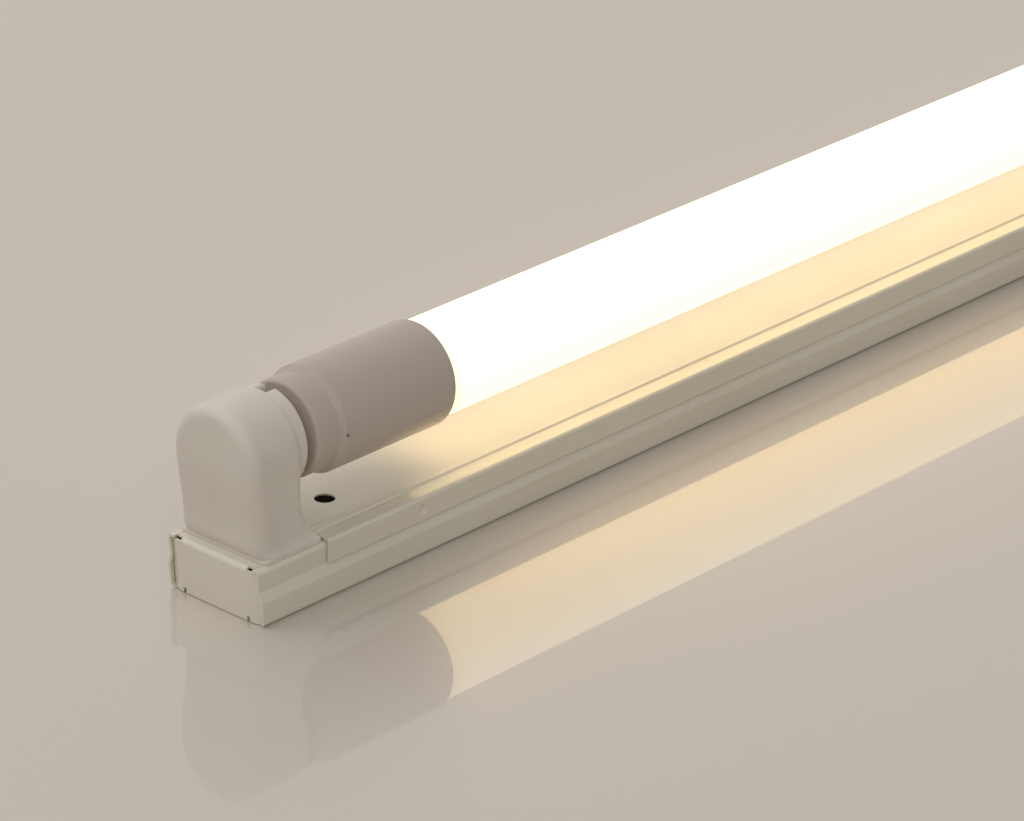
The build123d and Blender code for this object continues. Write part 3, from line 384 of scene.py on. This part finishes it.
def natural_polyamide(name):
    """Natural polyamide, moulded: milky ivory, slightly see-through at its edges."""
    material, shader, place = new_material(
        name, "E6E1D2", 0.38, Subsurface_Weight=0.3,
        Subsurface_Radius=(1.0, 0.85, 0.6), Subsurface_Scale=1.5 * MM)
    flow = add_node(material, NOISE, {"Vector": place, "Scale": 1 / (5 * MM), "Detail": 2.0})
    ivory = add_node(material, RAMP, {"Fac": flow}, ("E8E3D5", "DED8C6"))
    gloss = add_node(material, RANGE, {"Value": flow, **blobs, "To Min": 0.34, "To Max": 0.44})
    set_inputs(shader, {"Base Color": ivory, "Roughness": gloss})
    return material


def zinc_plate():
    """Bright zinc plate on steel: cool grey with a thin blue-yellow bloom."""
    material, shader, place = new_material("zinc_plate", "B4B6BA", 0.3, Metallic=1.0)
    bloom = add_node(material, NOISE, {"Vector": place, "Scale": 1 / (2.2 * MM), "Detail": 3.0})
    grey = add_node(material, RAMP, {"Fac": bloom}, ("BBBEC4", "ACA894"))
    gloss = add_node(material, RANGE, {"Value": bloom, **blobs, "To Min": 0.24, "To Max": 0.38})
    set_inputs(shader, {"Base Color": grey, "Roughness": gloss})
    return material


def tinned_copper():
    """Electro-tinned copper: soft white metal with a matt bloom."""
    material, shader, place = new_material("tinned_copper", "C9C8C4", 0.36, Metallic=1.0)
    bloom = add_node(material, NOISE, {"Vector": place, "Scale": 1 / (1.2 * MM), "Detail": 3.0})
    white = add_node(material, RAMP, {"Fac": bloom}, ("CECDCA", "BDBBB4"))
    gloss = add_node(material, RANGE, {"Value": bloom, **blobs, "To Min": 0.28, "To Max": 0.44})
    set_inputs(shader, {"Base Color": white, "Roughness": gloss})
    return material


def black_rubber():
    """Moulded EPDM rubber: near black and dry, with a faint dusty bloom."""
    material, shader, place = new_material("black_rubber", "1E1E1F", 0.6)
    bloom = add_node(material, NOISE, {"Vector": place, "Scale": 1 / (1.8 * MM), "Detail": 3.0})
    black = add_node(material, RAMP, {"Fac": bloom}, ("1C1C1D", "2A2A2B"))
    relief = add_node(material, BUMP, {"Height": bloom, "Distance": 0.03 * MM, "Strength": 0.4})
    set_inputs(shader, {"Base Color": black, "Normal": relief})
    return material


def dress_cad():
    """Gives every carried-over CAD node its finish, and returns the finishes by node."""
    steel = powder_coated_steel()
    housing = moulded_polycarbonate()
    bronze = phosphor_bronze()
    rotor = rotor_polycarbonate_painted_light()
    cap = satin_grey_cap()
    brass = turned_brass()
    zinc = zinc_plate()
    lamp_wire = wire_sleeve("white_sleeve", "E2E1DC")
    finishes = {
        "tray": steel,
        "cover": steel,
        "left_lampholder": housing,
        "right_lampholder": housing,
        "left_contacts": bronze,
        "right_contacts": bronze,
        "left_rotor": rotor,
        "right_rotor": rotor,
        "diffuser": lit_opal_tube(),
        "left_end_cap": cap,
        "right_end_cap": cap,
        "left_pins": brass,
        "right_pins": brass,
        "led_board": masked_aluminium(),
        "board_adhesive": white_silicone(),
        "leds": led_frame(),
        "driver_board": green_solder_mask(),
        "driver_capacitor": capacitor_sleeve(),
        "driver_inductor": sintered_ferrite(),
        "driver_chip": moulding_compound(),
        "driver_film_capacitor": yellow_case(),
        "driver_fuse": resistor_lacquer(),
        "driver_pin_leads": lamp_wire,
        "driver_output_leads": lamp_wire,
        "link_leads": lamp_wire,
        "terminal_block": natural_polyamide("block_polyamide"),
        "terminal_bushes": brass,
        "terminal_screws": zinc,
        "terminal_block_screw": zinc,
        "earth_screw": zinc,
        "earth_lug": tinned_copper(),
        "earth_washer": zinc,
        "earth_nut": zinc,
        "cable_grommet": black_rubber(),
        "live_lead": wire_sleeve("brown_sleeve", "6A4128"),
        "neutral_lead": wire_sleeve("blue_sleeve", "2A5A9E"),
        "earth_lead": wire_sleeve("green_yellow_sleeve", "4C9A36", "E3C832"),
        "lead_clips": natural_polyamide("clip_polyamide"),
    }
    for node, material in finishes.items():
        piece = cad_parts[node]
        piece.data.materials.clear()
        piece.data.materials.append(material)
    return finishes


# Fine pieces

# A face looks along an axis where that much of its unit normal lies along it
along_axis = 0.9


def every_face(centre, normal):
    """A test that every face passes."""
    return True


def choose(piece, test):
    """Selects, in edit mode, the faces whose centre and normal pass the test."""
    bpy.ops.object.mode_set(mode="EDIT")
    bpy.ops.mesh.select_mode(type="FACE")
    bpy.ops.mesh.select_all(action="DESELECT")
    bpy.ops.object.mode_set(mode="OBJECT")
    for face in piece.data.polygons:
        face.select = test(face.center, face.normal)
    bpy.ops.object.mode_set(mode="EDIT")


def reshape(piece, kind, **settings):
    """Adds a modifier with its settings and applies it."""
    modifier = piece.modifiers.new(kind.lower(), kind)
    for name, value in settings.items():
        setattr(modifier, name, value)
    bpy.context.view_layer.objects.active = piece
    bpy.ops.object.modifier_apply(modifier=modifier.name)


def repeat_along_x(piece, count, pitch):
    """Turns a piece into a row of copies."""
    reshape(piece, "ARRAY", count=count, use_relative_offset=False, use_constant_offset=True,
            constant_offset_displace=(pitch, 0, 0))


def select_only(piece):
    """Makes a piece the only selected one and the active one."""
    bpy.ops.object.select_all(action="DESELECT")
    piece.select_set(True)
    bpy.context.view_layer.objects.active = piece


def apply_placing():
    """Takes the selected piece's place, turn and scale into its mesh."""
    bpy.ops.object.transform_apply(location=True, rotation=True, scale=True)


def set_down(piece, place=(0, 0, 0), turn=0.0):
    """Puts a piece in its place, turned about Z, and leaves its object at the origin."""
    select_only(piece)
    piece.location = place
    piece.rotation_euler = (0, 0, turn)
    apply_placing()


def finish_piece(piece, name, material, body):
    """Closes up the mesh and gives the piece its name, finish and body."""
    weld = 0.001 * MM
    smooth_below = math.radians(35)
    piece.name = name
    select_only(piece)
    bpy.ops.object.mode_set(mode="EDIT")
    bpy.ops.mesh.select_all(action="SELECT")
    bpy.ops.mesh.remove_doubles(threshold=weld)
    bpy.ops.mesh.normals_make_consistent(inside=False)
    bpy.ops.object.mode_set(mode="OBJECT")
    bpy.ops.object.shade_smooth_by_angle(angle=smooth_below)
    piece.data.materials.append(material)
    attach(piece, body)


def new_disc(radius, sides):
    """Flat filled disc at the origin, the only thing selected."""
    bpy.ops.object.select_all(action="DESELECT")
    bpy.ops.mesh.primitive_circle_add(vertices=sides, radius=radius, fill_type="NGON")
    return bpy.context.object


def push(x, y, z):
    """Extrudes the selected faces by a step."""
    bpy.ops.mesh.extrude_region_move(TRANSFORM_OT_translate={"value": (x, y, z)})


def led_windows(material):
    """Crowned oval phosphor window in the top of each light source."""
    low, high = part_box("leds")
    count = 48
    package = 3.5 * MM
    pitch = (high.x - low.x - package) / (count - 1)
    radius = 1.0 * MM
    stretch = 1.25
    edge_height = 0.06 * MM
    shoulder = 0.18 * MM
    crown = 0.05 * MM
    window = new_disc(radius, sides=20)
    window.scale = (stretch, 1.0, 1.0)
    set_down(window)
    choose(window, every_face)
    push(0, 0, edge_height)
    bpy.ops.mesh.inset(thickness=shoulder)
    bpy.ops.transform.translate(value=(0, 0, crown))
    bpy.ops.object.mode_set(mode="OBJECT")
    repeat_along_x(window, count, pitch)
    set_down(window, (low.x + package / 2, 0, high.z))
    finish_piece(window, "led_windows", material, "lamp")


def inductor_winding(material):
    """Enamelled wire in a close helix between the core's two cheeks."""
    low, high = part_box("driver_inductor")
    middle = (low + high) / 2
    cheek = 1.2 * MM
    waist_radius = 3.0 * MM
    wire_radius = 0.21 * MM
    first_turn = cheek + 1.2 * wire_radius
    turns = 13
    pitch = 0.43 * MM
    sides = 24
    bpy.ops.object.select_all(action="DESELECT")
    bpy.ops.mesh.primitive_circle_add(vertices=8, radius=wire_radius, rotation=(math.pi / 2, 0, 0))
    winding = bpy.context.object
    winding.location = (waist_radius + wire_radius, 0, 0)
    apply_placing()
    reshape(winding, "SCREW", angle=2 * math.pi, steps=sides, render_steps=sides, iterations=turns,
            screw_offset=pitch)
    set_down(winding, (middle.x, middle.y, low.z + first_turn))
    finish_piece(winding, "inductor_winding", material, "lamp")


def chip_legs(material):
    """Tinned gull-wing legs, four along each long side of the chip."""
    low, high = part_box("driver_chip")
    middle = (low + high) / 2
    count = 4
    pitch = 1.27 * MM
    root = (-(count - 1) / 2 * pitch, 2.1 * MM, 0.75 * MM)
    width = 0.4 * MM
    root_length = 0.3 * MM
    thickness = 0.15 * MM
    lean = 0.2 * MM
    drop = 0.67 * MM
    foot = 0.5 * MM
    bpy.ops.object.select_all(action="DESELECT")
    bpy.ops.mesh.primitive_cube_add(size=1, location=root, scale=(width, root_length, thickness))
    legs = bpy.context.object
    apply_placing()
    choose(legs, lambda centre, normal: normal.y > along_axis)
    push(0, lean, -drop)
    push(0, foot, 0)
    bpy.ops.object.mode_set(mode="OBJECT")
    repeat_along_x(legs, count, pitch)
    reshape(legs, "MIRROR", use_axis=(False, True, False), use_clip=False)
    set_down(legs, (middle.x, middle.y, low.z))
    finish_piece(legs, "chip_legs", material, "lamp")


def bent_leg(name, place, turn, run, drop, material):
    """Tinned wire leg that runs out level, bends over and goes down to the board."""
    wire_radius = 0.2 * MM
    bend_radius = 0.25 * MM
    leg = new_disc(wire_radius, sides=10)
    leg.rotation_euler = (0, math.pi / 2, 0)
    apply_placing()
    choose(leg, every_face)
    push(run, 0, 0)
    bpy.ops.mesh.spin(steps=5, angle=math.pi / 2, center=(run, 0, -bend_radius), axis=(0, 1, 0))
    push(0, 0, bend_radius - drop)
    bpy.ops.object.mode_set(mode="OBJECT")
    set_down(leg, place, turn)
    finish_piece(leg, name, material, "lamp")


def driver_legs(material):
    """Legs of the driver's capacitor and of its fusible resistor."""
    board_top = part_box("driver_board")[1].z
    low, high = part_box("driver_capacitor")
    middle = (low + high) / 2
    spread = 1.75 * MM
    run = 0.3 * MM
    for name, y in (("capacitor_leg_a", middle.y - spread), ("capacitor_leg_b", middle.y + spread)):
        bent_leg(name, (low.x, y, middle.z), math.pi, run, middle.z - board_top, material)
    low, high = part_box("driver_fuse")
    middle = (low + high) / 2
    run = 0.6 * MM
    for name, y, turn in (("fuse_leg_a", low.y, -math.pi / 2), ("fuse_leg_b", high.y, math.pi / 2)):
        bent_leg(name, (middle.x, y, middle.z), turn, run, middle.z - board_top, material)


def earth_stud(material):
    """Pan-head machine screw with a cross recess, pushed up through its seat."""
    low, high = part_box("earth_screw")
    middle = (low + high) / 2
    head_radius = 3.6 * MM
    head_height = 2.4 * MM
    head_round = 0.8 * MM
    shank_radius = 2.0 * MM
    shank_length = 8.5 * MM
    tip_length = 0.5 * MM
    tip_share = 0.75
    tolerance = 0.01 * MM
    stud = new_disc(head_radius, sides=40)
    choose(stud, every_face)
    push(0, 0, head_height)
    bpy.ops.mesh.inset(thickness=head_radius - shank_radius)
    push(0, 0, shank_length)
    push(0, 0, tip_length)
    bpy.ops.transform.resize(value=(tip_share, tip_share, 1.0))
    choose(stud, lambda centre, normal: centre.z < tolerance and abs(normal.z) > along_axis)
    bpy.ops.mesh.bevel(offset=head_round, segments=5)
    bpy.ops.object.mode_set(mode="OBJECT")
    for turn in (0.0, math.pi / 2):
        blade = recess_blade(turn)
        reshape(stud, "BOOLEAN", object=blade, operation="DIFFERENCE", solver="EXACT")
        bpy.data.objects.remove(blade)
    set_down(stud, (middle.x, middle.y, low.z))
    finish_piece(stud, "earth_stud", material, "fitting")
    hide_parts("earth_screw")


def recess_blade(turn):
    """One tapered wing of a screwdriver's tip, which cuts the recess."""
    span = 4.2 * MM
    thickness = 0.8 * MM
    height = 2.0 * MM
    recess_depth = 1.4 * MM
    tip_share = 0.5
    bpy.ops.object.select_all(action="DESELECT")
    bpy.ops.mesh.primitive_cube_add(size=1, location=(0, 0, recess_depth - height / 2),
                                    rotation=(0, 0, turn), scale=(span, thickness, height))
    blade = bpy.context.object
    apply_placing()
    choose(blade, lambda centre, normal: normal.z > along_axis)
    bpy.ops.transform.resize(value=(tip_share, tip_share, 1.0))
    bpy.ops.object.mode_set(mode="OBJECT")
    return blade


def gate_mark(name, end, material):
    """Small sheared gate stub on the cap's shoulder, with a dimple in its middle."""
    from_face = 8.9 * MM
    side = -14.0 * MM
    radius = 0.45 * MM
    height = 0.25 * MM
    rim = 0.16 * MM
    dimple = 0.12 * MM
    stub = new_disc(radius, sides=16)
    choose(stub, every_face)
    push(0, 0, height)
    bpy.ops.mesh.inset(thickness=rim)
    bpy.ops.transform.translate(value=(0, 0, -dimple))
    bpy.ops.object.mode_set(mode="OBJECT")
    stub.rotation_euler = (math.pi / 2, 0, 0)
    apply_placing()
    set_down(stub, (end * (end_x - cap_face - from_face), side, axis_height))
    finish_piece(stub, name, material, "lamp")


def add_fine_pieces(finishes):
    """Everything that is finer than the solids."""
    tinned = finishes["earth_lug"]
    zinc = finishes["earth_screw"]
    led_windows(led_phosphor())
    inductor_winding(enamelled_copper())
    chip_legs(tinned)
    driver_legs(tinned)
    earth_stud(zinc)
    # The gate stubs' dark grey is painted shade of their dimples
    dimple_shade = gate_painted_shade()
    gate_mark("left_gate_mark", -1, dimple_shade)
    gate_mark("right_gate_mark", 1, dimple_shade)


# Studio: camera, floor and light

def set_camera():
    """Long lens from the near left, above the lamp's height, as in the photograph."""
    eye = (-1.0488, -0.7660, 0.5400)
    yaw = math.radians(42.46)
    pitch = math.radians(-24.70)
    roll = math.radians(0.775)
    forward = Vector((math.cos(pitch) * math.cos(yaw), math.cos(pitch) * math.sin(yaw), math.sin(pitch)))
    level_right = Vector((math.sin(yaw), -math.cos(yaw), 0))
    level_up = level_right.cross(forward)
    right = level_right * math.cos(roll) + level_up * math.sin(roll)
    up = level_up * math.cos(roll) - level_right * math.sin(roll)
    data = bpy.data.cameras.new("camera")
    data.lens = 170.8
    data.sensor_width = 36.0
    data.clip_start = 0.05
    data.clip_end = 60.0
    camera = bpy.data.objects.new("camera", data)
    bpy.context.scene.collection.objects.link(camera)
    turn = Matrix((right, up, -forward)).transposed().to_4x4()
    camera.matrix_world = Matrix.Translation(eye) @ turn
    bpy.context.scene.camera = camera


def pale_floor():
    """Pale lacquered table top: the clear lacquer keeps an image of the tube."""
    material = new_material(
        "pale_floor", "CFC6BD", 0.3, Coat_Weight=1.0, Coat_Roughness=0.03, Coat_IOR=1.6)[0]
    width = 40.0
    below_object = 0.02 * MM
    bpy.ops.object.select_all(action="DESELECT")
    bpy.ops.mesh.primitive_plane_add(size=width, location=(0, 0, -below_object))
    floor = bpy.context.object
    floor.name = "floor"
    floor.data.materials.append(material)


def soft_box(name, place, target, size, power):
    """Large soft lamp aimed at a point."""
    data = bpy.data.lights.new(name, "AREA")
    data.shape = "RECTANGLE"
    data.size, data.size_y = size
    data.energy = power
    lamp = bpy.data.objects.new(name, data)
    bpy.context.scene.collection.objects.link(lamp)
    lamp.visible_glossy = False
    lamp.location = place
    lamp.rotation_mode = "QUATERNION"
    lamp.rotation_quaternion = (Vector(target) - Vector(place)).to_track_quat("-Z", "Y")


def studio_air():
    """Even pale air: a plain light on the object, and a brighter backdrop for the camera and mirrors."""
    world = bpy.data.worlds.new("studio")
    bpy.context.scene.world = world
    world.use_nodes = True
    light = world.node_tree.nodes["Background"]
    set_inputs(light, {"Color": srgb("F4F2EE"), "Strength": 0.42})
    backdrop = add_node(world, "ShaderNodeBackground", {"Color": srgb("DAD3CB"), "Strength": 1.0})
    path = add_node(world, "ShaderNodeLightPath", {}).outputs
    direct = add_node(
        world, MATH, {0: path["Is Camera Ray"], 1: path["Is Glossy Ray"]}, operation="MAXIMUM")
    seen = add_node(world, MATH, {0: direct, 1: path["Is Transmission Ray"]}, operation="MAXIMUM")
    mix = add_node(world, "ShaderNodeMixShader", {"Fac": seen, 1: light, 2: backdrop})
    set_inputs(world.node_tree.nodes["World Output"], {"Surface": mix})


bpy.context.scene.view_settings.view_transform = "Standard"
set_camera()
pale_floor()
studio_air()
soft_box("key", place=(-0.6, 1.4, 1.9), target=(0, 0, 0), size=(3.0, 2.4), power=27)
soft_box("fill", place=(-1.6, -1.0, 1.2), target=(-0.2, 0, 0), size=(1.2, 1.0), power=8)
add_fine_pieces(dress_cad())
